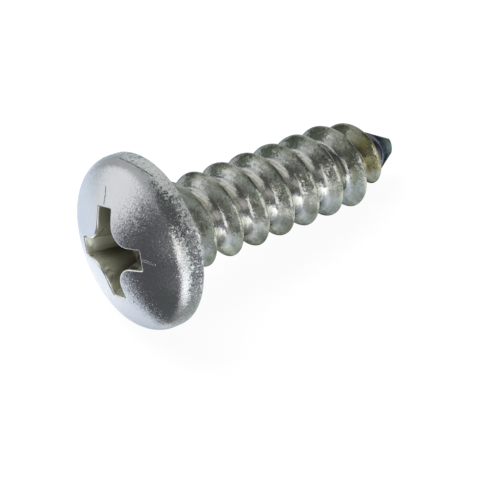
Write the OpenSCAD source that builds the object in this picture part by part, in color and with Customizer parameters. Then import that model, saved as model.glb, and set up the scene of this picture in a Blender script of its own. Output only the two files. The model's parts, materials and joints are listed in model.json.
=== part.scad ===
// Self-tapping screw: a round pan head with a cross recess, a coarse spaced
// thread up to the head, and a blunt tip that is cut off at a slant.
// One solid piece of steel, lying on its side as it comes to rest on a table.
// Inside the modules the screw stands on its axis: the bearing face is at z = 0,
// the head is below it and the tip above.

/* [Head] */
// Diameter of the head
head_d = 6.66; // [6:0.02:8]
// Height of the head, from the bearing face to the top of the crown
head_h = 1.85; // [1.6:0.05:2.6]
// Radius of the crown
crown_r = 5.6; // [5:0.1:8]
// Radius that rounds the crown into the side of the head
shoulder_r = 0.75; // [0.4:0.05:1]
// Radius of the edge round the bearing face
edge_r = 0.08; // [0.04:0.01:0.2]

/* [Cross recess] */
// Span of the recess across two opposite wings, where they meet the crown
recess_span = 3.46; // [3:0.02:4]
// Width of a wing where it meets the crown
wing_w = 0.76; // [0.6:0.02:0.9]
// Radius of the rounded corner between two wings at the crown
recess_corner_r = 0.75; // [0.4:0.05:0.9]
// Depth from the top of the crown to the foot of the wings
recess_depth = 1.45; // [1.1:0.05:1.5]
// Span across two opposite wings at their foot
recess_floor_span = 2.3; // [1.8:0.05:2.6]
// Width of a wing at its foot
wing_floor_w = 0.62; // [0.5:0.02:0.8]
// Radius of the corner between two wings at their foot
floor_corner_r = 0.4; // [0.2:0.05:0.5]
// Depth of the shallow point in the middle of the recess floor
floor_point_h = 0.4; // [0.1:0.05:0.5]
// Turn of the recess about the axis, from straight down
recess_turn = 67; // [0:1:90]

/* [Thread] */
// Diameter over the crests of the thread
thread_d = 3.52; // [3.2:0.02:4]
// Diameter of the core between the threads
core_d = 2.4; // [2.2:0.02:2.8]
// Distance from one turn of the thread to the next
pitch = 1.27; // [1.1:0.01:1.5]
// Width of the flat on the crest
crest_w = 0.05; // [0.02:0.01:0.12]
// Slope of the flank that faces the tip, from square to the axis
lead_flank_angle = 28; // [20:1:32]
// Slope of the flank that faces the head, from square to the axis
trail_flank_angle = 35; // [25:1:38]
// Length over which the thread rises out of the shank below the head
thread_run_in = 0.6; // [0.3:0.1:1.2]
// Turn of the thread at the bearing face, from straight down
thread_turn = 101; // [0:1:180]
// Diameter of the plain neck below the head
neck_d = 2.56; // [2.4:0.02:3]
// Radius of the fillet between the neck and the bearing face
neck_fillet_r = 0.2; // [0.1:0.05:0.4]

/* [Tip] */
// Length from the bearing face to the middle of the blunt end
shank_length = 12.1; // [11:0.1:16]
// Length at the tip over which the crests taper
crest_taper_length = 2.2; // [2:0.1:3]
// Taper of the crests, from the axis
crest_taper_angle = 29; // [25:1:35]
// Length over which the core tapers down to the nose
core_taper_length = 2.5; // [1.5:0.1:3.5]
// Length of the straight nose in front of that taper
nose_length = 1.1; // [0.6:0.1:1.6]
// Diameter of the nose
nose_d = 1.04; // [0.6:0.02:1.2]
// Slant of the blunt end, from square to the axis
tip_slant = 26; // [0:1:30]
// Direction in which the blunt end slants, from straight down
tip_slant_turn = 78; // [0:1:359]

/* [Hidden] */
$fn = 96;

head_r = head_d / 2;
core_r = core_d / 2;
neck_r = max(neck_d / 2, core_r);
neck_run_out = 0.15;
neck_sink = 0.08;
thread_r = thread_d / 2;
nose_r = nose_d / 2;
over_cut = 0.5;

// Where the crown runs into the rounded shoulder
crown_z = crown_r - head_h;
shoulder_c = head_r - shoulder_r;
shoulder_angle = asin(shoulder_c / (crown_r - shoulder_r));
shoulder_z = crown_z - (crown_r - shoulder_r) * cos(shoulder_angle);
blend_r = crown_r * sin(shoulder_angle);

// Level at which the wings of the recess reach the crown, and levels of the floor
mouth_z = crown_z - sqrt(crown_r * crown_r - recess_span * recess_span / 4);
floor_z = recess_depth - head_h;
recess_arc_steps = 8;

// The thread is laid out in columns round the axis, with one row for each corner
// of its section; the last row of a column is the first row one turn further on.
columns = 48;
thread_depth = thread_r - core_r;
lead_flank_w = thread_depth * tan(lead_flank_angle);
trail_flank_w = thread_depth * tan(trail_flank_angle);
root_w = pitch - crest_w - lead_flank_w - trail_flank_w;
flank_bow = 0.06;
root_bow = 0.04;
row_z = [
    -crest_w / 2,
    crest_w / 2,
    crest_w / 2 + lead_flank_w / 2,
    crest_w / 2 + lead_flank_w,
    crest_w / 2 + lead_flank_w + root_w / 2,
    crest_w / 2 + lead_flank_w + root_w,
    pitch - crest_w / 2 - trail_flank_w / 2,
];
row_rise = [1, 1, 0.5 - flank_bow, root_bow, 0, root_bow, 0.5 - flank_bow];
rows = len(row_z);
root_z = -0.6;
hidden_turns = ceil(1 - root_z / pitch - thread_turn / 360);
thread_z = -pitch * (hidden_turns + thread_turn / 360);
end_z = shank_length + nose_r * tan(tip_slant) + over_cut;
turns = ceil((end_z - thread_z) / pitch) + 1;

// How the screw lies: it touches the table at the edge of the head and at the last
// full crest that passes straight down
crest_taper_z = shank_length - crest_taper_length;
core_taper_z = shank_length - nose_length - core_taper_length;
rest_crest_z = pitch * (floor(crest_taper_z / pitch + thread_turn / 360) - thread_turn / 360);
rest_run = rest_crest_z + edge_r;
rest_drop = head_r - edge_r - thread_r;
rest_angle = atan2(rest_drop, rest_run) + asin(edge_r / norm([rest_drop, rest_run]));
rest_z = rest_crest_z * sin(rest_angle) + thread_r * cos(rest_angle);
head_end_x = crown_z * cos(rest_angle) - crown_r;
tip_end_x = (shank_length + nose_r * tan(tip_slant)) * cos(rest_angle);

function clamp(value, low, high) = min(max(value, low), high);
function mix(a, b, t) = a + (b - a) * t;

// Radius of the core at a height, and of the crests
function core_at(z) = mix(core_r, nose_r, clamp((z - core_taper_z) / core_taper_length, 0, 1));
function crest_full(z) = thread_r - max(z - crest_taper_z, 0) * tan(crest_taper_angle);
function crest_at(z) = mix(core_at(z), max(crest_full(z), core_at(z)), clamp(z / thread_run_in, 0, 1));

// A point of the thread in a column and a row
function thread_point(column, row) =
    let (
        angle = (column % columns) * 360 / columns,
        z = clamp(thread_z + pitch * column / columns + row_z[row], root_z, end_z),
        r = mix(core_at(z), crest_at(z), row_rise[row])
    )
    [r * cos(angle), r * sin(angle), z];

// Index of that point, where one row too many is the first row of the next turn
function thread_index(column, row) =
    row < rows ? column * rows + row : (column + columns) * rows;

// Outline of the recess at a depth: 0 at the crown and 1 at the foot of the wings
function recess_outline(t) =
    let (
        reach = mix(recess_span, recess_floor_span, t) / 2,
        half_w = mix(wing_w, wing_floor_w, t) / 2,
        corner_r = mix(recess_corner_r, floor_corner_r, t),
        centre = half_w + corner_r
    )
    [
        for (quarter = [0:3])
            let (turn = quarter * 90)
            for (p = concat(
                [[reach, half_w]],
                [
                    for (step = [0:recess_arc_steps])
                        let (a = 270 - 90 * step / recess_arc_steps)
                        [centre + corner_r * cos(a), centre + corner_r * sin(a)]
                ],
                [[half_w, reach]]
            ))
            [p[0] * cos(turn) - p[1] * sin(turn), p[0] * sin(turn) + p[1] * cos(turn)]
    ];

module head_profile() {
    intersection() {
        translate([0, crown_z]) circle(r = crown_r);
        translate([0, -head_h]) square([blend_r, head_h]);
    }
    translate([shoulder_c, shoulder_z]) circle(r = shoulder_r);
    translate([0, shoulder_z]) square([head_r, -shoulder_z - edge_r]);
    translate([0, -2 * edge_r]) square([head_r - edge_r, 2 * edge_r]);
    translate([head_r - edge_r, -edge_r]) circle(r = edge_r);
}

module neck_profile() {
    difference() {
        polygon([
            [0, -edge_r],
            [neck_r + neck_fillet_r, -edge_r],
            [neck_r + neck_fillet_r, neck_fillet_r],
            [neck_r, neck_fillet_r],
            [core_r - neck_sink, neck_fillet_r + neck_run_out],
            [0, neck_fillet_r + neck_run_out],
        ]);
        translate([neck_r + neck_fillet_r, neck_fillet_r]) circle(r = neck_fillet_r);
    }
}

module head() {
    rotate_extrude() head_profile();
    rotate_extrude() neck_profile();
}

// Core, thread and tapered end, as one closed surface that follows the helix
module threaded_shank() {
    points = [
        for (column = [0:columns * (turns + 1) - 1])
            for (row = [0:rows - 1])
                thread_point(column, row)
    ];
    skin = [
        for (column = [0:columns * turns - 2])
            for (row = [0:rows - 1])
                for (tri = [
                    [
                        thread_index(column, row),
                        thread_index(column, row + 1),
                        thread_index(column + 1, row + 1),
                    ],
                    [
                        thread_index(column, row),
                        thread_index(column + 1, row + 1),
                        thread_index(column + 1, row),
                    ],
                ])
                    if (points[tri[0]] != points[tri[1]]
                        && points[tri[1]] != points[tri[2]]
                        && points[tri[2]] != points[tri[0]])
                        tri
    ];
    root_disc = [for (column = [0:columns - 1]) thread_index(column, 0)];
    tip_disc = [for (column = [columns - 1:-1:0]) thread_index(column + columns * turns, 0)];
    polyhedron(points, concat(skin, [root_disc, tip_disc]));
}

// The block that trims the end of the tip to a slant
module tip_cut() {
    rotate([0, 0, tip_slant_turn])
        translate([0, 0, shank_length])
            rotate([0, tip_slant, 0])
                translate([-thread_d, -thread_d, 0])
                    cube([2 * thread_d, 2 * thread_d, thread_d]);
}

module recess_tool() {
    above = -(mouth_z + head_h + over_cut) / (floor_z - mouth_z);
    mouth = recess_outline(above);
    foot = recess_outline(1);
    sides = len(mouth);
    top_z = mix(mouth_z, floor_z, above);
    points = concat(
        [for (p = mouth) [p[0], p[1], top_z]],
        [for (p = foot) [p[0], p[1], floor_z]],
        [[0, 0, floor_z + floor_point_h], [0, 0, top_z]]
    );
    faces = [
        for (i = [0:sides - 1])
            let (next = (i + 1) % sides)
            for (tri = [
                [i, i + sides, next + sides],
                [i, next + sides, next],
                [i + sides, 2 * sides, next + sides],
                [i, next, 2 * sides + 1],
            ])
                tri
    ];
    rotate([0, 0, recess_turn]) polyhedron(points, faces);
}

module upright_screw() {
    difference() {
        union() {
            head();
            threaded_shank();
        }
        recess_tool();
        tip_cut();
    }
}

module screw() {
    color([0.66, 0.66, 0.63])
        translate([-(head_end_x + tip_end_x) / 2, 0, rest_z])
            rotate([0, 90 + rest_angle, 0])
                upright_screw();
}

screw();
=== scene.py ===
"""Looks of the self-tapping screw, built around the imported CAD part.

The screw's skin is one closed mesh that stands for the CAD node "screw". It is made in the
screw's own frame, in millimetres: z runs along the axis from the bearing face, z = 0, to the
tip, x points straight down as the screw lies, and the head is at negative z.
"""

import json
import math
from types import SimpleNamespace

import bpy
import numpy as np
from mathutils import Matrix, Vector


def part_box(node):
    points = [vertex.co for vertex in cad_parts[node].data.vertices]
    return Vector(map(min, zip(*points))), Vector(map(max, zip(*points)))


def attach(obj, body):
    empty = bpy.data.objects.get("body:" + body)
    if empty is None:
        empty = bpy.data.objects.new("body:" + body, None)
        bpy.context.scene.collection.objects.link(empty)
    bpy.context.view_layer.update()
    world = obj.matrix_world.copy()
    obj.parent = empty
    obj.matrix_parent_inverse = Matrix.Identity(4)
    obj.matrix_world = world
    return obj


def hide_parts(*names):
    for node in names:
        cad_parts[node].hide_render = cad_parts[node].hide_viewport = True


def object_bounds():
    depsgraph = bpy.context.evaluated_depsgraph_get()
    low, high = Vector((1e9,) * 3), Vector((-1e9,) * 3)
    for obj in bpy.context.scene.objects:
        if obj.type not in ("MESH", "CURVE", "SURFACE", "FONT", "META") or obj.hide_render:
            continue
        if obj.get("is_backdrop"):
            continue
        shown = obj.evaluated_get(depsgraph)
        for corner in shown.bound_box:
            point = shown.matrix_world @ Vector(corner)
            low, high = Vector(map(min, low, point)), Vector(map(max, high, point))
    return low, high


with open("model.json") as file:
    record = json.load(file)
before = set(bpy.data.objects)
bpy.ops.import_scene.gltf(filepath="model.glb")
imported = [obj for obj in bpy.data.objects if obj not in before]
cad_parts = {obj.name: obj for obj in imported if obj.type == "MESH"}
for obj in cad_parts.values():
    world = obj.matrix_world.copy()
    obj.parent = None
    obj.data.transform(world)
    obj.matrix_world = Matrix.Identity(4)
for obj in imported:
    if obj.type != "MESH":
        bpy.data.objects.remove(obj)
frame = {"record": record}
cad_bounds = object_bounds()

# ---------------------------------------------------------------- sizes, in millimetres

MM = 0.001
MOUNTS = {mount["name"]: mount for mount in frame["record"]["mounts"]}
BOX_LOW, BOX_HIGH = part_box("screw")

AXIS = Vector(MOUNTS["thread"]["axis"]).normalized()
SHANK_LENGTH = MOUNTS["thread"]["dims"]["length_mm"]
THREAD_R = MOUNTS["thread"]["dims"]["r_mm"]
ORIGIN = Vector(MOUNTS["thread"]["pos_m"]) - AXIS * SHANK_LENGTH * MM
DOWN = Vector((AXIS.z, 0, -AXIS.x))
ACROSS = AXIS.cross(DOWN)
HEAD_H = (ORIGIN - Vector(MOUNTS["drive_recess"]["pos_m"])).dot(AXIS) / MM
HEAD_R = (BOX_HIGH.y - BOX_LOW.y) / 2 / MM

# Head: a domed crown, a round shoulder and a short edge
CROWN_R = 5.6
SHOULDER_R = 0.75
EDGE_R = 0.08
CROWN_Z = CROWN_R - HEAD_H
SHOULDER_C = HEAD_R - SHOULDER_R
SHOULDER_ANGLE = math.asin(SHOULDER_C / (CROWN_R - SHOULDER_R))
SHOULDER_Z = CROWN_Z - (CROWN_R - SHOULDER_R) * math.cos(SHOULDER_ANGLE)
BLEND_R = CROWN_R * math.sin(SHOULDER_ANGLE)

# Cross recess: at the crown, and at the foot of its wings
RECESS_SPAN = (3.46, 2.3)
WING_W = (0.76, 0.62)
RECESS_CORNER_R = (0.75, 0.4)
WING_TIP_R = 0.06
RECESS_RIM_R = 0.065
RECESS_TURN = math.radians(67)
FLOOR_Z = 1.45 - HEAD_H
FLOOR_POINT_H = 0.4
MOUTH_Z = CROWN_Z - math.sqrt(CROWN_R**2 - (RECESS_SPAN[0] / 2) ** 2)

# Thread
CORE_R = 1.2
PITCH = 1.27
CREST_HALF_W = 0.025
LEAD_FLANK_W = 0.262
TRAIL_FLANK_W = 0.345
ROOT_SOFTNESS = 0.15
CREST_BOW = 0.2
THREAD_RUN_IN = 0.6
THREAD_TURN = math.radians(101)
NECK_R = 1.28
NECK_FILLET_R = 0.2
NECK_RUN_OUT = 0.15
CREST_END_SOFTNESS = 0.04
# Unevenness of the crests: its depth, and its waves a turn and their drift a millimetre
CREST_WAVER = 0.012
WAVER_WAVES = (3, 7.3)
WAVER_DRIFT = (0.8, 2.1)

# Tip
CREST_TAPER_Z = SHANK_LENGTH - 2.2
CREST_TAPER = math.tan(math.radians(29))
CORE_TAPER_LENGTH = 2.5
CORE_TAPER_Z = SHANK_LENGTH - 1.1 - CORE_TAPER_LENGTH
NOSE_R = 0.52
NOSE_END_R = 0.3
NOSE_SLOPE = 0.5
NOSE_Z = SHANK_LENGTH - 1.3
NOSE_BLEND = 0.45
END_Z = SHANK_LENGTH + 0.33
TIP_SLANT = math.tan(math.radians(26))
TIP_SLANT_TURN = math.radians(262)
TIP_EDGE_R = 0.02

# Marks on the head. A point is an angle from straight down, with a height for the crack, which
# runs round the shoulder, and a distance from the axis for the others, which are on the crown.
CRACK = ((158, -0.62), (163, -0.64), (174, -0.63), (183, -0.57), (189, -0.50))
CRACK_W = 0.04
TOP_SCRATCH = ((156, 1.82), (157, 2.1), (155.5, 2.4))
TOP_SCRATCH_W = 0.034
NICK = ((311, 1.90), (315, 1.95))
NICK_W = 0.03
SIDE_SCRATCH = ((246, 1.84), (249.4, 2.28))
SIDE_SCRATCH_W = 0.05
MARK_CORE = 0.3
MARK_WANDER = 0.07
MARK_DEPTH = 0.015

# Relief of the steel, as depths, and its small leaning cells: how many to a millimetre, how far
# they lean, against a normal of length 1, and for the glints what share of the cells leans
GRAIN_DEPTH = 0.006
RIM_GRAIN_DEPTH = 0.012
THREAD_GRAIN_DEPTH = 0.002
COARSE_DEPTH = 0.022
STREAK_DEPTH = 0.008
FACET_SCALE = 22.0
PIT_SCALE = 9.0
FINE_TILT = 0.08
RIM_FINE_TILT = 0.36
GLINT_SCALE = 34.0
GLINT_TILT = 0.24
GLINT_SHARE = 0.4

# Heights between which one finish gives way to the next
RIM_FADE = (-0.85, -0.55)
SHANK_FADE = (-0.02, NECK_FILLET_R)
BROWN_FADE = (SHANK_LENGTH - 2.6, SHANK_LENGTH - 1.9)
NOSE_FADE = (SHANK_LENGTH - 1.35, SHANK_LENGTH - 1.05)
END_FADE = (SHANK_LENGTH - 0.6, SHANK_LENGTH)

# ---------------------------------------------------------------- camera

# Azimuth and elevation of the camera, its distance, and its aim from the middle of the part
CAMERA_SIDE = (-129.635, 42.456)
CAMERA_DISTANCE = 55.55
CAMERA_AIM = (-2.62, -2.22, 0.0)
CAMERA_LENS = 114.84
CAMERA_SENSOR = 36.0
CAMERA_REACH = 2000.0

# ---------------------------------------------------------------- the screw's skin

# Columns of points round the axis: how many to a quarter turn and in all, and their angles
QUARTER = 60
COLUMNS = 4 * QUARTER
ANGLES = RECESS_TURN + np.arange(COLUMNS) * 2 * np.pi / COLUMNS
# Columns from the middle of a wing to where its flat end, its rounded tip and its side stop
WING_COLUMNS = (5, 9, 17)

# Rings of points in each stretch of the skin: how many, or at which shares or angles of it
FLOOR_RINGS = (0.12, 0.3, 0.5, 0.7, 0.85, 0.95)
WALL_RINGS = 14
RIM_RINGS = (90, 68, 45, 22, 0)
CROWN_RINGS = (0.03, 0.07, *np.linspace(0.12, 1, 24))
SHOULDER_RINGS = 16
EDGE_RINGS = 6
UNDERSIDE_RINGS = (0.25, 0.5, 0.75)
NECK_RINGS = 7
TIP_EDGE_RINGS = (30, 60, 90)
END_RINGS = (0.75, 0.5, 0.25)
# Rows of the thread across one pitch, as distances past a crest and before the next
ROWS_PAST_CREST = (-0.03, -0.01, 0.01, 0.03, 0.06, 0.11, 0.16, 0.21, 0.25, 0.29, 0.34, 0.41, 0.5, 0.6, 0.7)
ROWS_BEFORE_CREST = (0.42, 0.36, 0.31, 0.26, 0.2, 0.15, 0.1)
# Rows stay at least this far from the rings that they meet
ROW_GAP = 0.01
# Rounds after which a point that depends on its own height has settled
RECESS_ROUNDS = 12
END_ROUNDS = 30


def mix(a, b, t):
    """A value between a, at t = 0, and b, at t = 1."""
    return a + (b - a) * t


def soft_positive(x, softness):
    """max(x, 0) with a rounded corner."""
    return 0.5 * (x + np.sqrt(x * x + softness * softness))


def crown_height(r):
    """z of the crown at a distance from the axis."""
    return CROWN_Z - np.sqrt(CROWN_R**2 - r * r)


def recess_outline(t, grow=0.0):
    """Outline of the recess, one point a column: t is 0 at the crown and 1 at the foot of
    the wings, and grow moves the outline outwards."""
    reach = mix(*RECESS_SPAN, t) / 2 + grow
    half_w = mix(*WING_W, t) / 2 + grow
    corner_r = mix(*RECESS_CORNER_R, t) - grow
    tip_r = WING_TIP_R + grow
    place = np.arange(COLUMNS) % QUARTER
    step = np.minimum(place, QUARTER - place)
    end, tip, side = WING_COLUMNS
    across = step / end
    round_tip = (step - end) / (tip - end) * np.pi / 2
    along = (step - tip) / (side - tip)
    round_corner = 1.5 * np.pi - (step - side) / (QUARTER / 2 - side) * np.pi / 4
    centre = half_w + corner_r
    x = np.select(
        [step <= end, step <= tip, step <= side],
        [
            reach + 0 * across,
            reach - tip_r + tip_r * np.cos(round_tip),
            mix(reach - tip_r, centre, along),
        ],
        centre + corner_r * np.cos(round_corner),
    )
    y = np.select(
        [step <= end, step <= tip, step <= side],
        [
            (half_w - tip_r) * across,
            half_w - tip_r + tip_r * np.sin(round_tip),
            half_w + 0 * along,
        ],
        centre + corner_r * np.sin(round_corner),
    )
    swap = place > QUARTER / 2
    x, y = np.where(swap, y, x), np.where(swap, x, y)
    turn = RECESS_TURN + (np.arange(COLUMNS) // QUARTER) * np.pi / 2
    return x * np.cos(turn) - y * np.sin(turn), x * np.sin(turn) + y * np.cos(turn)


def recess_share(z):
    """How far a height is from the crown to the foot of the wings."""
    return (z - MOUTH_Z) / (FLOOR_Z - MOUTH_Z)


def recess_ring(z_of_r, grow=0.0):
    """A ring of the recess whose height follows from its distance to the axis."""
    t = np.zeros(COLUMNS)
    for _ in range(RECESS_ROUNDS):
        x, y = recess_outline(t, grow)
        t = recess_share(z_of_r(np.hypot(x, y)))
    x, y = recess_outline(t, grow)
    return np.stack([x, y, z_of_r(np.hypot(x, y))], 1)


def recess_rings():
    """The floor, the walls and the rounded rim of the recess, from the middle outwards, each
    with how much it belongs to the recess."""
    x, y = recess_outline(1.0)
    for share in FLOOR_RINGS:
        z = np.full(COLUMNS, FLOOR_Z + FLOOR_POINT_H * (1 - share))
        yield np.stack([x * share, y * share, z], 1), 1.0
    rim_foot = recess_ring(lambda r: crown_height(r) + RECESS_RIM_R)
    for share in np.linspace(0, 1, WALL_RINGS + 1)[:-1]:
        z = mix(FLOOR_Z, rim_foot[:, 2], share)
        wall_x, wall_y = recess_outline(recess_share(z))
        yield np.stack([wall_x, wall_y, z], 1), 1.0
    for angle in np.radians(RIM_RINGS):
        grow = RECESS_RIM_R * (1 - math.sin(angle))
        drop = RECESS_RIM_R * (1 - math.cos(angle))
        depth = max(0.0, math.sin(angle) * 2 - 1)
        yield recess_ring(lambda r: crown_height(r) + drop, grow), depth


def circle_ring(r, z):
    """A ring round the axis. Its radius and height may differ from column to column."""
    return np.stack([r * np.cos(ANGLES), r * np.sin(ANGLES), z + 0 * ANGLES], 1)


def crown_rings(rim):
    """The crown, from the rim of the recess to where the shoulder starts."""
    edge = circle_ring(BLEND_R, 0)
    for share in CROWN_RINGS:
        x, y = mix(rim[:, 0], edge[:, 0], share), mix(rim[:, 1], edge[:, 1], share)
        yield np.stack([x, y, crown_height(np.hypot(x, y))], 1)


def shoulder_rings():
    """The rounded shoulder, the side and the edge of the head, and its flat underside."""
    for angle in np.linspace(SHOULDER_ANGLE, np.pi / 2, SHOULDER_RINGS + 1)[1:]:
        r = SHOULDER_C + SHOULDER_R * math.sin(angle)
        yield circle_ring(r, SHOULDER_Z - SHOULDER_R * math.cos(angle))
    yield circle_ring(HEAD_R, SHOULDER_Z / 2 - EDGE_R / 2)
    for angle in np.linspace(0, np.pi / 2, EDGE_RINGS):
        r = HEAD_R - EDGE_R * (1 - math.cos(angle))
        yield circle_ring(r, EDGE_R * (math.sin(angle) - 1))
    for share in UNDERSIDE_RINGS:
        yield circle_ring(mix(HEAD_R - EDGE_R, NECK_R + NECK_FILLET_R, share), 0)


def thread_rise(z, angles):
    """Height of the thread's section, from 0 at the root to 1 at the crest."""
    past_crest = (z / PITCH - (angles - THREAD_TURN) / (2 * np.pi)) % 1 * PITCH
    lead = 1 - (past_crest - CREST_HALF_W) / LEAD_FLANK_W
    trail = 1 - (PITCH - past_crest - CREST_HALF_W) / TRAIL_FLANK_W
    flanks = soft_positive(lead, ROOT_SOFTNESS) + soft_positive(trail, ROOT_SOFTNESS)
    from_crest = np.minimum(past_crest, PITCH - past_crest)
    return np.minimum(flanks, 1 - (np.minimum(from_crest, 2 * CREST_HALF_W) / CREST_BOW) ** 2)


def crest_waver(z, angles):
    """Small unevenness of the crests, from 0 to 1."""
    turn = angles + 2 * np.pi * z / PITCH
    slow = np.sin(WAVER_WAVES[0] * turn + WAVER_DRIFT[0] * z)
    quick = np.sin(WAVER_WAVES[1] * angles + WAVER_DRIFT[1] * z)
    return (2 + slow + quick) / 4


def shank_radius(z, angles):
    """Distance of the shank's surface from the axis."""
    core = mix(CORE_R, NOSE_R, np.clip((z - CORE_TAPER_Z) / CORE_TAPER_LENGTH, 0, 1))
    taper = np.maximum(z - CREST_TAPER_Z, 0) * CREST_TAPER
    crest = THREAD_R - CREST_WAVER * crest_waver(z, angles) - taper
    depth = soft_positive(crest - core, CREST_END_SOFTNESS) * np.clip(z / THREAD_RUN_IN, 0, 1)
    nose = NOSE_END_R + NOSE_SLOPE * (END_Z - z)
    fill = np.clip((z - NOSE_Z) / NOSE_BLEND, 0, 1)
    fill = fill * fill * (3 - 2 * fill)
    neck = NECK_R - (NECK_R - CORE_R) * np.clip((z - NECK_FILLET_R) / NECK_RUN_OUT, 0, 1)
    thread = mix(core + depth * thread_rise(z, angles), nose, fill)
    return np.where(z < NECK_FILLET_R + NECK_RUN_OUT, np.maximum(thread, neck), thread)


def end_height(r):
    """z of the slanted end in each column, at a distance from the axis."""
    return END_Z - TIP_SLANT * r * np.cos(ANGLES - TIP_SLANT_TURN)


def end_edge():
    """Radius and height, in each column, at which the side of the tip meets its rounded edge."""
    z = np.full(COLUMNS, END_Z)
    for _ in range(END_ROUNDS):
        r = shank_radius(z, ANGLES)
        z = end_height(r) - TIP_EDGE_R
    return r, z


class Skin:
    """Points and faces of a closed mesh, added ring by ring."""

    def __init__(self):
        self.points = []
        self.faces = []
        self.recess = []
        self.count = 0

    def add(self, points, recess=0.0):
        """Adds points and gives their indices; recess marks how deep in the recess they are."""
        self.points.append(points)
        self.recess.append(np.full(len(points), recess))
        self.count += len(points)
        return np.arange(self.count - len(points), self.count)

    def face(self, *corners):
        """Adds a face, if three or more of its corners are different points."""
        distinct = list(dict.fromkeys(int(corner) for corner in corners))
        if len(distinct) > 2:
            self.faces.append(distinct)

    def bridge(self, inner, outer):
        """Adds the faces between two rings."""
        after_inner, after_outer = np.roll(inner, -1), np.roll(outer, -1)
        for corners in zip(inner, outer, after_outer, after_inner):
            self.face(*corners)

    def fan(self, centre, ring):
        """Adds the faces between a point and a ring."""
        for a, b in zip(ring, np.roll(ring, -1)):
            self.face(centre, a, b)

    def grow(self, ring, points, recess=0.0):
        """Adds points as a new ring, joined to this one, and gives their indices."""
        new = self.add(points, recess)
        self.bridge(ring, new)
        return new


def add_thread(skin, start):
    """The threaded shank, from the ring start at the neck to its last ring at the tip. Its rows
    follow the helix; what lies past either end of a column is that end's own point."""
    end_r, end_z = end_edge()
    last = skin.add(circle_ring(end_r, end_z))
    offsets = np.array([*ROWS_PAST_CREST, *(PITCH - before for before in ROWS_BEFORE_CREST)])
    rows = len(offsets)
    turns = math.ceil(SHANK_LENGTH / PITCH) + 3
    climb = (ANGLES - THREAD_TURN) / (2 * np.pi)
    z = (np.floor(-climb.max()) - 1 + climb)[:, None] * PITCH
    z = z + (np.arange(turns * rows) // rows * PITCH + np.tile(offsets, turns))[None, :]
    inside = (z > NECK_FILLET_R + ROW_GAP) & (z < end_z[:, None] - ROW_GAP)
    angles = np.broadcast_to(ANGLES[:, None], z.shape)
    r = shank_radius(z, angles)
    grid = np.where(z <= NECK_FILLET_R + ROW_GAP, start[:, None], last[:, None])
    grid[inside] = skin.add(np.stack([r * np.cos(angles), r * np.sin(angles), z], 2)[inside])
    for column in range(COLUMNS):
        shift = rows if column == COLUMNS - 1 else 0
        here, there = grid[column], grid[(column + 1) % COLUMNS]
        for row in range(turns * rows - 1 - shift):
            skin.face(here[row], here[row + 1], there[row + 1 + shift], there[row + shift])
    return last


def neck_rings():
    """The fillet between the underside of the head and the shank."""
    neck = shank_radius(np.full(COLUMNS, NECK_FILLET_R), ANGLES)
    for angle in np.linspace(0, np.pi / 2, NECK_RINGS):
        r = neck + NECK_FILLET_R * (1 - math.sin(angle))
        yield circle_ring(r, NECK_FILLET_R * (1 - math.cos(angle)))


def end_rings():
    """The rounded edge of the tip and its slanted end."""
    end_r, _ = end_edge()
    for angle in np.radians(TIP_EDGE_RINGS):
        r = end_r - TIP_EDGE_R * (1 - math.cos(angle))
        yield circle_ring(r, end_height(r) - TIP_EDGE_R * (1 - math.sin(angle)))
    flat_r = end_r - TIP_EDGE_R
    for share in END_RINGS:
        yield circle_ring(flat_r * share, end_height(flat_r * share))


def build_skin():
    """The whole skin, from the middle of the recess over the head to the middle of the end."""
    skin = Skin()
    centre = skin.add(np.array([[0, 0, FLOOR_Z + FLOOR_POINT_H]]), 1.0)[0]
    first, *rest = recess_rings()
    ring = skin.add(*first)
    skin.fan(centre, ring)
    for points, depth in rest:
        ring = skin.grow(ring, points, depth)
    for points in (*crown_rings(points), *shoulder_rings(), *neck_rings()):
        ring = skin.grow(ring, points)
    ring = add_thread(skin, ring)
    for points in end_rings():
        ring = skin.grow(ring, points)
    skin.fan(skin.add(np.array([[0, 0, END_Z]]))[0], ring[::-1])
    return skin


def make_screw():
    """The skin as an object in the frame, with a mask of the recess for its material."""
    skin = build_skin()
    mesh = bpy.data.meshes.new("screw_skin")
    points = np.concatenate(skin.points) @ np.array([DOWN, ACROSS, AXIS]) * MM + np.array(ORIGIN)
    mesh.from_pydata(points.tolist(), [], skin.faces)
    depth = mesh.attributes.new("in_recess", "FLOAT", "POINT")
    depth.data.foreach_set("value", np.concatenate(skin.recess).astype(np.float32))
    mesh.validate()
    mesh.flip_normals()
    mesh.shade_smooth()
    screw = bpy.data.objects.new("screw_skin", mesh)
    bpy.context.scene.collection.objects.link(screw)
    return screw


# ---------------------------------------------------------------- node trees


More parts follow.
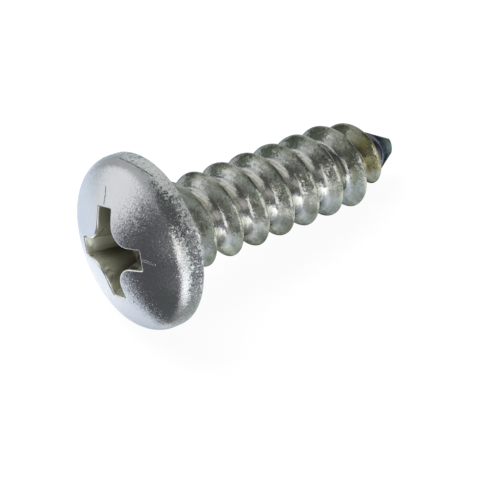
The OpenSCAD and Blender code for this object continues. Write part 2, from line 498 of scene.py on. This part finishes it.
class Shader:
    """Writes a node tree in few words. Each method returns the socket that it makes."""

    def __init__(self, tree):
        self.tree = tree
        tree.nodes.clear()

    def add(self, kind, inputs=None, output=0, **settings):
        node = self.tree.nodes.new(kind)
        for name, value in settings.items():
            setattr(node, name, value)
        for key, value in (inputs or {}).items():
            if isinstance(value, bpy.types.NodeSocket):
                self.tree.links.new(value, node.inputs[key])
            else:
                node.inputs[key].default_value = value
        return node.outputs[output]

    def finish(self, kind, surface):
        node = self.tree.nodes.new(kind)
        self.tree.links.new(surface, node.inputs["Surface"])

    def math(self, operation, *values, clamp=False):
        return self.add("ShaderNodeMath", dict(enumerate(values)), operation=operation, use_clamp=clamp)

    def vector(self, operation, *values, output=0):
        return self.add("ShaderNodeVectorMath", dict(enumerate(values)), output, operation=operation)

    def scale(self, vector, by):
        return self.add("ShaderNodeVectorMath", {0: vector, "Scale": by}, operation="SCALE")

    def distance(self, first, second):
        return self.vector("LENGTH", self.vector("SUBTRACT", first, second), output=1)

    def step(self, value, low, high, start=0.0, end=1.0):
        """Goes smoothly from start to end while value goes from low to high."""
        inputs = {0: value, 1: low, 2: high, 3: start, 4: end}
        return self.add("ShaderNodeMapRange", inputs, interpolation_type="SMOOTHSTEP")

    def blend(self, share, first, second):
        """A colour between two colours."""
        return self.add("ShaderNodeMix", {0: share, 6: first, 7: second}, 2, data_type="RGBA")

    def between(self, share, first, second):
        """A number between two numbers."""
        return self.add("ShaderNodeMix", {0: share, 2: first, 3: second})

    def noise(self, place, scale, detail, roughness, output=0):
        inputs = {"Vector": place, "Scale": scale, "Detail": detail, "Roughness": roughness}
        return self.add("ShaderNodeTexNoise", inputs, output)


def rgb(red, green, blue):
    return (red, green, blue, 1.0)


def direction(azimuth, elevation):
    """Unit vector towards an azimuth, from +X towards +Y, and a height above the table."""
    azimuth, elevation = math.radians(azimuth), math.radians(elevation)
    flat = math.cos(elevation)
    return Vector((flat * math.cos(azimuth), flat * math.sin(azimuth), math.sin(elevation)))


# ---------------------------------------------------------------- what the metal reflects

# What the camera sees behind the floor
BACKDROP = rgb(0.93, 0.93, 0.93)

# The floor as the camera sees it: its radius, how strong its glow is, the glow's share of its
# look, and the two tones and the noise of its paper
FLOOR_R = 300.0
FLOOR_SIDES = 96
FLOOR_GLOW = 1.04
FLOOR_GLOW_SHARE = 0.9
PAPER = (rgb(0.80, 0.80, 0.80), rgb(0.84, 0.84, 0.84))
PAPER_NOISE = (400.0, 3.0, 0.5)

# What the metal sees of the studio. Each patch: azimuth, elevation, angles from its middle at
# which it is full and gone, colour. The floor's patches fan out from FLOOR_PIVOT, under the head.
WALLS = rgb(0.50, 0.52, 0.53)
PATCHES = (
    (128, 8, 18, 34, rgb(0.10, 0.12, 0.10)),
    (48, 24, 15, 36, rgb(0.92, 0.92, 0.92)),
    (8, 42, 12, 36, rgb(0.82, 0.81, 0.79)),
    (-108, 36, 54, 68, rgb(0.10, 0.105, 0.105)),
    (-66, 12, 16, 32, rgb(0.11, 0.12, 0.12)),
    (172, 10, 11, 20, rgb(0.10, 0.10, 0.11)),
    (-140, 11, 9, 22, rgb(1.4, 1.38, 1.38)),
    (-104, 16, 11, 21, rgb(0.86, 0.92, 0.89)),
)
FLOOR_WHITE = rgb(0.86, 0.93, 1.04)
FLOOR_PIVOT = Vector((-7.2, -2.0, 0.0)) * MM
# The floor's patches: dark ones are painted shade, bright ones painted light
FLOOR_PATCHES = (
    (178, 0, 26, 54, rgb(0.09, 0.09, 0.10)),
    (-107, 0, 14, 32, rgb(1.45, 1.45, 1.48)),
    (-56, 0, 16, 30, rgb(0.22, 0.21, 0.26)),
    (-22, 0, 8, 20, rgb(1.4, 1.4, 1.4)),
)
# Each spot, painted shadow where dark and painted light where bright: place on the floor, radii
# at which it is full and gone, colour
FLOOR_SPOTS = (
    (-10.4, -3.9, 1.8, 3.8, rgb(0.09, 0.10, 0.10)),
    (-15.5, -8.0, 3.0, 5.2, rgb(0.20, 0.21, 0.21)),
    (-7.6, -3.4, 0.9, 1.9, rgb(0.10, 0.11, 0.11)),
    (-5.2, -4.8, 1.0, 3.2, rgb(0.46, 0.48, 0.47)),
    (-6.4, 2.4, 1.0, 4.0, rgb(1.2, 1.22, 1.26)),
    (-1.0, -2.4, 0.8, 2.2, rgb(0.50, 0.52, 0.52)),
    (-2.6, 0.3, 0.8, 1.9, rgb(1.4, 1.42, 1.4)),
    (0.4, 0.5, 0.8, 1.8, rgb(1.2, 1.22, 1.2)),
)
# Painted shade far off: distances from the pivot at which the floor starts to be and is this colour
FAR_FLOOR = (12.0, 32.0, rgb(0.46, 0.49, 0.52))
# The share of the floor's mirror image that takes shadows
MIRROR_SHADOW = 0.35

# Soft glowing cards that only the metal sees, as painted reflections: place, what it faces, half width,
# half height, colour
CARDS = {
    "card_beside_head": ((-11.6, 6.6, 7.0), (-6.0, 0.5, 4.4), 6.2, 7.6, rgb(0.95, 0.97, 1.0)),
    "card_over_shank": ((3.4, -9.0, 8.4), (1.5, 0.0, 3.0), 6.6, 4.2, rgb(0.62, 0.58, 0.60)),
}
# The share of a card's reach within which it is full
CARD_CORE = 0.45


def surroundings(shader, towards, ground, patches):
    """Colour of the studio in a direction: a ground colour with soft patches over it."""
    colour = ground
    for azimuth, elevation, full, gone, patch in patches:
        facing = shader.vector("DOT_PRODUCT", towards, direction(azimuth, elevation), output=1)
        share = shader.step(facing, math.cos(math.radians(gone)), math.cos(math.radians(full)))
        colour = shader.blend(share, colour, patch)
    return colour


def seen(shader, *kinds):
    """1 for rays of these kinds, otherwise 0."""
    path = shader.tree.nodes.new("ShaderNodeLightPath")
    total = path.outputs[kinds[0]]
    for kind in kinds[1:]:
        total = shader.math("ADD", total, path.outputs[kind], clamp=True)
    return total


def make_world():
    world = bpy.data.worlds.new("studio")
    world.use_nodes = True
    shader = Shader(world.node_tree)
    towards = shader.add("ShaderNodeTexCoord", output="Generated")
    colour = surroundings(shader, towards, WALLS, PATCHES)
    colour = shader.blend(seen(shader, "Is Camera Ray", "Is Transmission Ray"), colour, BACKDROP)
    shader.finish("ShaderNodeOutputWorld", shader.add("ShaderNodeBackground", {"Color": colour}))
    bpy.context.scene.world = world


def mirrored_floor(shader, place):
    """The floor as the metal sees it: pale, with painted shade and painted light in dark and bright
    stretches.
    """
    towards = shader.vector("NORMALIZE", shader.vector("SUBTRACT", place, FLOOR_PIVOT))
    away = shader.distance(place, FLOOR_PIVOT)
    near, far, far_colour = FAR_FLOOR
    ground = shader.blend(shader.step(away, near * MM, far * MM), FLOOR_WHITE, far_colour)
    tint = surroundings(shader, towards, ground, FLOOR_PATCHES)
    for x, y, full, gone, colour in FLOOR_SPOTS:
        away = shader.distance(place, Vector((x, y, 0)) * MM)
        tint = shader.blend(shader.step(away, full * MM, gone * MM, 1.0, 0.0), tint, colour)
    glow = shader.add("ShaderNodeEmission", {"Color": tint})
    shaded = shader.add("ShaderNodeBsdfDiffuse", {"Color": tint})
    return shader.add("ShaderNodeMixShader", {0: MIRROR_SHADOW, 1: glow, 2: shaded})


def make_floor():
    """A round pale table top, which keeps the screw's shadow."""
    bpy.ops.mesh.primitive_circle_add(vertices=FLOOR_SIDES, radius=FLOOR_R * MM, fill_type="NGON")
    floor = bpy.context.object
    floor.name = "floor"
    material = bpy.data.materials.new("pale_floor")
    material.use_nodes = True
    shader = Shader(material.node_tree)
    place = shader.add("ShaderNodeNewGeometry", output="Position")
    paper = shader.blend(shader.noise(place, *PAPER_NOISE), *PAPER)
    matt = shader.add("ShaderNodeBsdfDiffuse", {"Color": paper})
    white = shader.add("ShaderNodeEmission", {"Color": rgb(1.0, 1.0, 1.0), "Strength": FLOOR_GLOW})
    plain = shader.add("ShaderNodeMixShader", {0: FLOOR_GLOW_SHARE, 1: matt, 2: white})
    mirrored = mirrored_floor(shader, place)
    camera_sees = seen(shader, "Is Camera Ray", "Is Transmission Ray")
    lit = shader.add("ShaderNodeMixShader", {0: camera_sees, 1: matt, 2: plain})
    surface = {0: seen(shader, "Is Glossy Ray"), 1: lit, 2: mirrored}
    shader.finish("ShaderNodeOutputMaterial", shader.add("ShaderNodeMixShader", surface))
    floor.data.materials.append(material)
    floor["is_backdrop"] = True


def make_card(name, place, faces, half_w, half_h, colour):
    """A soft round card that glows, full in the middle, which only reflections see."""
    bpy.ops.mesh.primitive_plane_add(size=2.0 * MM)
    card = bpy.context.object
    card.name = name
    card.scale = (half_w, half_h, 1.0)
    look_at(card, Vector(place) * MM, Vector(faces) * MM)
    for kind in ("camera", "diffuse", "shadow", "transmission"):
        setattr(card, "visible_" + kind, False)
    material = bpy.data.materials.new(name)
    material.use_nodes = True
    shader = Shader(material.node_tree)
    away = shader.vector("LENGTH", shader.add("ShaderNodeTexCoord", output="Object"), output=1)
    clear = shader.add("ShaderNodeBsdfTransparent")
    pale = shader.add("ShaderNodeEmission", {"Color": colour})
    share = shader.step(away, CARD_CORE * MM, MM, 1.0, 0.0)
    soft = shader.add("ShaderNodeMixShader", {0: share, 1: clear, 2: pale})
    shader.finish("ShaderNodeOutputMaterial", soft)
    card.data.materials.append(material)
    card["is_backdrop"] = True


# ---------------------------------------------------------------- steel

HEAD_STEEL = (rgb(0.66, 0.67, 0.69), rgb(0.70, 0.695, 0.68))
RIM_STEEL = rgb(0.56, 0.595, 0.585)
# Painted highlight along the rim of the recess, and how much of it is laid on
RECESS_RIM_HIGHLIGHT = rgb(0.93, 0.93, 0.90)
RECESS_RIM_HIGHLIGHT_SHARE = 0.9
HEAD_EDGE_TINT = rgb(0.85, 0.87, 0.9)
# Levels of the grain, and the roughness below and above them
HEAD_ROUGHNESS = (0.3, 0.7, 0.16, 0.23)

CRACK_DARK = rgb(0.10, 0.10, 0.10)
CRACK_SHARE = 0.85
SCRATCH_DARK = rgb(0.16, 0.15, 0.14)
SCRATCH_SHARE = 0.7

# Two tones, and the levels of the streaks between which one gives way to the other
THREAD_STEEL = (rgb(0.57, 0.59, 0.54), rgb(0.43, 0.44, 0.35))
STREAK_LEVELS = (0.4, 0.65)
STAIN = rgb(0.27, 0.30, 0.23)
# Painted highlight on the flanks between the crests
FLANK_HIGHLIGHT = rgb(0.82, 0.81, 0.80)
BROWN = rgb(0.37, 0.34, 0.19)
# Painted shade: the nose is darkened as if in shadow
NOSE_SHADE = rgb(0.15, 0.16, 0.19)
CUT_END = rgb(0.36, 0.41, 0.39)
SHANK_EDGE_TINT = rgb(0.15, 0.17, 0.15)
# Levels of the streaks, and the roughness below and above them
SHANK_ROUGHNESS = (0.35, 0.7, 0.15, 0.28)
SHANK_TILT_SHARE = 0.3

# In the recess: a film of two tones, painted shade over it in the depth, and rubbed bare steel,
# painted bright as glints, near the mouth. The depths are shares of the whole depth: the painted shade
# starts at its first and is full at its second, the rubbed steel is full at its first and gone at its
# second.
# The film starts to dull the metal at the first level of FILM_MASK in the mask of the recess, and does so
# fully at the second.
FILM = (rgb(0.42, 0.42, 0.31), rgb(0.52, 0.51, 0.40))
DEEP_SHADE = rgb(0.19, 0.17, 0.13)
DEEP_SHADE_DEPTHS = (0.1, 0.8)
DEEP_SHADE_SHARE = 0.75
# Rubbed steel near the mouth: real wear in its roughness and metal, a painted glint in its bright colour
RUBBED_GLINT = rgb(0.90, 0.90, 0.84)
RUBBED_GLINT_DEPTHS = (0.05, 0.4)
RUBBED_GLINT_SHARE = 0.9
RECESS_ROUGHNESS = (0.34, 0.18)
FILM_MASK = (0.3, 1.0)
FILM_METALLIC = 0.6
RECESS_GRAIN_SHARE = 0.05
RECESS_TILT_SHARE = 0.03

# Noises: waves to a millimetre, detail, roughness
CLOUD_NOISE = (0.9, 3.0, 0.5)
GRAIN_NOISE = (13.0, 3.0, 0.7)
COARSE_NOISE = (6.0, 2.0, 0.5)
STREAK_NOISE = (1.6, 3.0, 0.6)
WANDER_NOISE = (5.0, 3.0, 0.5)
# Patches: the three numbers of their noise, its levels at which they start and are full, and
# their strength outside and inside
STAIN_PATCHES = (1.5, 4.0, 0.6, 0.46, 0.64, 0.0, 0.7)
BROWN_PATCHES = (1.7, 3.0, 0.5, 0.38, 0.6, 0.25, 1.0)
RUBBED_GLINT_PATCHES = (2.3, 2.0, 0.5, 0.47, 0.57, 0.0, 1.0)
UNBROKEN_PATCHES = (13.0, 2.0, 0.5, 0.3, 0.5, 0.0, 1.0)

# Rolling leaves streaks along the thread: how much finer their noise is across and along it
STREAKS_ACROSS = 5.0
STREAKS_ALONG = 0.5
# Painted highlight between the crests: shares of the pitch past a crest between which it comes
# up, and between which it goes
FLANK_HIGHLIGHT_UP = (0.4, 0.55)
FLANK_HIGHLIGHT_DOWN = (0.74, 0.9)
# Levels of the streaks, and the strength of the painted highlight below and above them
FLANK_HIGHLIGHT_STREAKS = (0.3, 0.6, 0.9, 0.4)
# Turns added to a count of turns, to keep it above 0
WHOLE_TURNS = 10


def crown_point(angle, r):
    """A point of the crown, at an angle from straight down and a distance from the axis."""
    angle = math.radians(angle)
    return Vector((r * math.cos(angle), r * math.sin(angle), float(crown_height(r))))


def shoulder_point(angle, z):
    """A point of the shoulder, at an angle from straight down and a height."""
    angle = math.radians(angle)
    r = SHOULDER_C + math.sqrt(SHOULDER_R**2 - (z - SHOULDER_Z) ** 2)
    return Vector((r * math.cos(angle), r * math.sin(angle), z))


def recess_depths(shares):
    """Heights at these shares of the recess's depth."""
    return [mix(MOUTH_Z, FLOOR_Z, share) for share in shares]


def patchy(shader, place, scale, detail, roughness, low, high, outside, inside):
    """Soft patches of a noise: one number outside them, another inside."""
    noise = shader.noise(place, scale, detail, roughness)
    return shader.step(noise, low, high, outside, inside)


def mark(shader, place, points, width):
    """1 along a thin line through these points, otherwise 0."""
    nearest = 1.0
    for start, end in zip(points, points[1:]):
        span = end - start
        from_start = shader.vector("SUBTRACT", place, start)
        along = shader.vector("DOT_PRODUCT", from_start, span / span.length_squared, output=1)
        along = shader.math("MINIMUM", shader.math("MAXIMUM", along, 0.0), 1.0)
        nearest = shader.math("MINIMUM", nearest, shader.distance(from_start, shader.scale(span, along)))
    return shader.step(nearest, MARK_CORE * width, width, 1.0, 0.0)


def own_place(shader):
    """Where a point of the screw is in its own frame, in millimetres: x, y, z and all three."""
    here = shader.vector("SUBTRACT", shader.add("ShaderNodeTexCoord", output="Object"), ORIGIN)
    x, y, z = (shader.vector("DOT_PRODUCT", here, way / MM, output=1) for way in (DOWN, ACROSS, AXIS))
    return x, y, z, shader.add("ShaderNodeCombineXYZ", {0: x, 1: y, 2: z})


def tilted(shader, place, normal, scale, tilt, share=1.0):
    """The normal, tilted in a random way in this share of small cells, as on blasted metal."""
    inputs = {"Vector": place, "Scale": scale}
    cell = shader.add("ShaderNodeTexVoronoi", inputs, output="Color")
    lean = shader.vector("SUBTRACT", cell, (0.5, 0.5, 0.5))
    if share < 1:
        chance = shader.add("ShaderNodeTexWhiteNoise", {"Vector": cell}, output="Value")
        tilt = shader.math("MULTIPLY", tilt, shader.math("LESS_THAN", chance, share))
    return shader.vector("NORMALIZE", shader.vector("ADD", normal, shader.scale(lean, tilt)))


def survey(shader):
    """The places, masks and noises that the colour and the relief of the steel both use."""
    x, y, z, place = own_place(shader)
    angle = shader.math("DIVIDE", shader.math("ARCTAN2", y, x), 2 * math.pi)
    climb = shader.math("SUBTRACT", shader.math("DIVIDE", z, PITCH), angle)
    turned = shader.math("ADD", climb, THREAD_TURN / (2 * math.pi) + WHOLE_TURNS)
    past_crest = shader.math("FRACT", turned)
    streak_place = [shader.math("MULTIPLY", side, STREAKS_ALONG) for side in (x, y)]
    streak_place.append(shader.math("MULTIPLY", past_crest, STREAKS_ACROSS))
    streak_place = shader.add("ShaderNodeCombineXYZ", dict(enumerate(streak_place)))
    near_mouth = shader.step(z, *recess_depths(RUBBED_GLINT_DEPTHS), RUBBED_GLINT_SHARE, 0.0)
    rubbed_and_glint = shader.math("MULTIPLY", patchy(shader, place, *RUBBED_GLINT_PATCHES), near_mouth)
    return SimpleNamespace(
        z=z,
        place=place,
        past_crest=past_crest,
        recess=shader.add("ShaderNodeAttribute", output="Fac", attribute_name="in_recess"),
        rim=shader.step(z, *RIM_FADE),
        shank=shader.step(z, *SHANK_FADE),
        rubbed_and_glint=rubbed_and_glint,
        cloud=shader.noise(place, *CLOUD_NOISE),
        grain=shader.noise(place, *GRAIN_NOISE),
        coarse=shader.noise(place, *COARSE_NOISE),
        streak=shader.noise(streak_place, *STREAK_NOISE),
    )


def head_marks(shader, on):
    """Masks of the crack, the dark scratches and the bright one, with ragged edges."""
    wander = shader.noise(on.place, *WANDER_NOISE, output="Color")
    wander = shader.scale(shader.vector("SUBTRACT", wander, (0.5, 0.5, 0.5)), MARK_WANDER)
    ragged = shader.vector("ADD", on.place, wander)
    unbroken = patchy(shader, on.place, *UNBROKEN_PATCHES)
    crack = mark(shader, ragged, [shoulder_point(*point) for point in CRACK], CRACK_W)
    scratch, nick, bright = (
        mark(shader, ragged, [crown_point(*point) for point in points], width)
        for points, width in (
            (TOP_SCRATCH, TOP_SCRATCH_W),
            (NICK, NICK_W),
            (SIDE_SCRATCH, SIDE_SCRATCH_W),
        )
    )
    crack = shader.math("MULTIPLY", crack, unbroken)
    scratch = shader.math("MULTIPLY", scratch, unbroken)
    return crack, shader.math("MAXIMUM", scratch, nick), bright


def head_colour(shader, on):
    return shader.blend(on.rim, shader.blend(on.cloud, *HEAD_STEEL), RIM_STEEL)


def thread_colour(shader, on):
    """Satin steel with stains, and a painted highlight between the crests."""
    colour = shader.blend(shader.step(on.streak, *STREAK_LEVELS), *THREAD_STEEL)
    colour = shader.blend(patchy(shader, on.place, *STAIN_PATCHES), colour, STAIN)
    highlight_up = shader.step(on.past_crest, *FLANK_HIGHLIGHT_UP)
    highlight_down = shader.step(on.past_crest, *FLANK_HIGHLIGHT_DOWN, 1.0, 0.0)
    flank_highlight = shader.math("MULTIPLY", highlight_up, highlight_down)
    flank_highlight = shader.math("MULTIPLY", flank_highlight, shader.step(on.streak, *FLANK_HIGHLIGHT_STREAKS))
    return shader.blend(flank_highlight, colour, FLANK_HIGHLIGHT)


def with_tip(shader, on, colour):
    """The colour, with the brown last turn, the nose darkened as painted shade, and its paler cut end."""
    browned = patchy(shader, on.place, *BROWN_PATCHES)
    browned = shader.math("MULTIPLY", browned, shader.step(on.z, *BROWN_FADE))
    colour = shader.blend(browned, colour, BROWN)
    colour = shader.blend(shader.step(on.z, *NOSE_FADE), colour, NOSE_SHADE)
    return shader.blend(shader.step(on.z, *END_FADE), colour, CUT_END)


def with_recess(shader, on, colour):
    """The colour, with the film in the recess, painted shade deep in it, rubbed steel painted
    bright as glints near its mouth, and a painted highlight round its rim.
    """
    film = shader.blend(on.cloud, *FILM)
    # Painted shade: the film darkens towards the foot of the wings
    deep_shade = shader.step(on.z, *recess_depths(DEEP_SHADE_DEPTHS), 0.0, DEEP_SHADE_SHARE)
    film = shader.blend(deep_shade, film, DEEP_SHADE)
    # Rubbed bare steel near the mouth, painted bright as glints
    film = shader.blend(on.rubbed_and_glint, film, RUBBED_GLINT)
    colour = shader.blend(on.recess, colour, film)
    # Painted highlight along the rim of the recess. The mask times its opposite peaks at a quarter,
    # half way through the rim
    rim_highlight = shader.math("MULTIPLY", on.recess, shader.math("SUBTRACT", 1.0, on.recess))
    return shader.blend(shader.math("MULTIPLY", rim_highlight, 4 * RECESS_RIM_HIGHLIGHT_SHARE), colour, RECESS_RIM_HIGHLIGHT)


def steel_roughness(shader, on):
    head = shader.step(on.grain, *HEAD_ROUGHNESS)
    recess = shader.step(on.rubbed_and_glint, 0.0, 1.0, *RECESS_ROUGHNESS)
    shank = shader.step(on.streak, *SHANK_ROUGHNESS)
    return shader.between(on.shank, shader.between(on.recess, head, recess), shank)


def steel_relief(shader, on, marks):
    """Height of the surface, in millimetres."""
    depth = shader.between(on.rim, GRAIN_DEPTH, RIM_GRAIN_DEPTH)
    depth = shader.math("MULTIPLY", depth, shader.step(on.recess, 0.0, 1.0, 1.0, RECESS_GRAIN_SHARE))
    head = shader.math("MULTIPLY", on.grain, depth)
    coarse_depth = shader.math("MULTIPLY", on.rim, COARSE_DEPTH)
    head = shader.math("ADD", head, shader.math("MULTIPLY", on.coarse, coarse_depth))
    shank = shader.math("MULTIPLY", on.streak, STREAK_DEPTH)
    shank = shader.math("ADD", shank, shader.math("MULTIPLY", on.grain, THREAD_GRAIN_DEPTH))
    crack, scratch, bright = marks
    dents = shader.math("MAXIMUM", crack, shader.math("MAXIMUM", scratch, bright))
    dents = shader.math("MULTIPLY", dents, MARK_DEPTH)
    return shader.math("SUBTRACT", shader.between(on.shank, head, shank), dents)


def steel_normal(shader, on, marks):
    """The relief, with small cells that lean: facets all over, pits on the rim, and glints."""
    relief = steel_relief(shader, on, marks)
    normal = shader.add("ShaderNodeBump", {"Distance": MM, "Height": relief})
    bare = shader.step(on.recess, 0.0, 1.0, 1.0, RECESS_TILT_SHARE)
    bare = shader.math("MULTIPLY", bare, shader.step(on.shank, 0.0, 1.0, 1.0, SHANK_TILT_SHARE))
    tilt = shader.math("MULTIPLY", shader.between(on.rim, FINE_TILT, RIM_FINE_TILT), bare)
    glint = shader.math("MULTIPLY", bare, GLINT_TILT)
    normal = tilted(shader, on.place, normal, FACET_SCALE, tilt)
    normal = tilted(shader, on.place, normal, PIT_SCALE, shader.math("MULTIPLY", tilt, on.rim))
    return tilted(shader, on.place, normal, GLINT_SCALE, glint, GLINT_SHARE)


def make_steel():
    material = bpy.data.materials.new("tumbled_steel")
    material.use_nodes = True
    shader = Shader(material.node_tree)
    on = survey(shader)
    marks = head_marks(shader, on)
    crack, scratch, _ = marks
    colour = shader.blend(on.shank, head_colour(shader, on), thread_colour(shader, on))
    colour = with_recess(shader, on, with_tip(shader, on, colour))
    colour = shader.blend(shader.math("MULTIPLY", crack, CRACK_SHARE), colour, CRACK_DARK)
    colour = shader.blend(shader.math("MULTIPLY", scratch, SCRATCH_SHARE), colour, SCRATCH_DARK)
    filmed = shader.step(on.recess, *FILM_MASK)
    filmed = shader.math("SUBTRACT", filmed, on.rubbed_and_glint, clamp=True)
    look = {
        "Base Color": colour,
        "Metallic": shader.step(filmed, 0.0, 1.0, 1.0, FILM_METALLIC),
        "Specular Tint": shader.blend(on.shank, HEAD_EDGE_TINT, SHANK_EDGE_TINT),
        "Roughness": steel_roughness(shader, on),
        "Normal": steel_normal(shader, on, marks),
    }
    shader.finish("ShaderNodeOutputMaterial", shader.add("ShaderNodeBsdfPrincipled", look))
    return material


# ---------------------------------------------------------------- camera and lamps


def look_at(thing, place, target):
    """Puts a thing at a place, with its front towards the target."""
    thing.location = place
    thing.rotation_euler = (target - place).to_track_quat("-Z", "Y").to_euler()


def make_camera():
    camera = bpy.data.objects.new("camera", bpy.data.cameras.new("camera"))
    bpy.context.scene.collection.objects.link(camera)
    camera.data.sensor_width = CAMERA_SENSOR
    camera.data.lens = CAMERA_LENS
    camera.data.clip_start = MM
    camera.data.clip_end = CAMERA_REACH * MM
    middle = (BOX_LOW + BOX_HIGH) / 2
    target = middle + Vector(CAMERA_AIM) * MM
    look_at(camera, target + direction(*CAMERA_SIDE) * CAMERA_DISTANCE * MM, target)
    bpy.context.scene.camera = camera


def make_lamp(name, azimuth, elevation, distance, size, power):
    """A round soft lamp that lights the scene without being seen or mirrored."""
    lamp = bpy.data.lights.new(name, "AREA")
    lamp.shape = "DISK"
    lamp.size = size * MM
    lamp.energy = power
    holder = bpy.data.objects.new(name, lamp)
    bpy.context.scene.collection.objects.link(holder)
    look_at(holder, direction(azimuth, elevation) * distance * MM, Vector((0, 0, 0)))
    holder.visible_camera = False
    holder.visible_glossy = False


make_camera()
make_world()
make_floor()
for name, card in CARDS.items():
    make_card(name, *card)
make_lamp("soft_top", azimuth=110, elevation=62, distance=130, size=90, power=0.16)

screw = make_screw()
screw.data.materials.append(make_steel())
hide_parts("screw")
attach(screw, "root")

bpy.context.scene.view_settings.view_transform = "Standard"

bpy.context.view_layer.update()
bounds = {"cad": cad_bounds, "visual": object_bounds()}
{name: [list(corner) for corner in corners] for name, corners in bounds.items()}
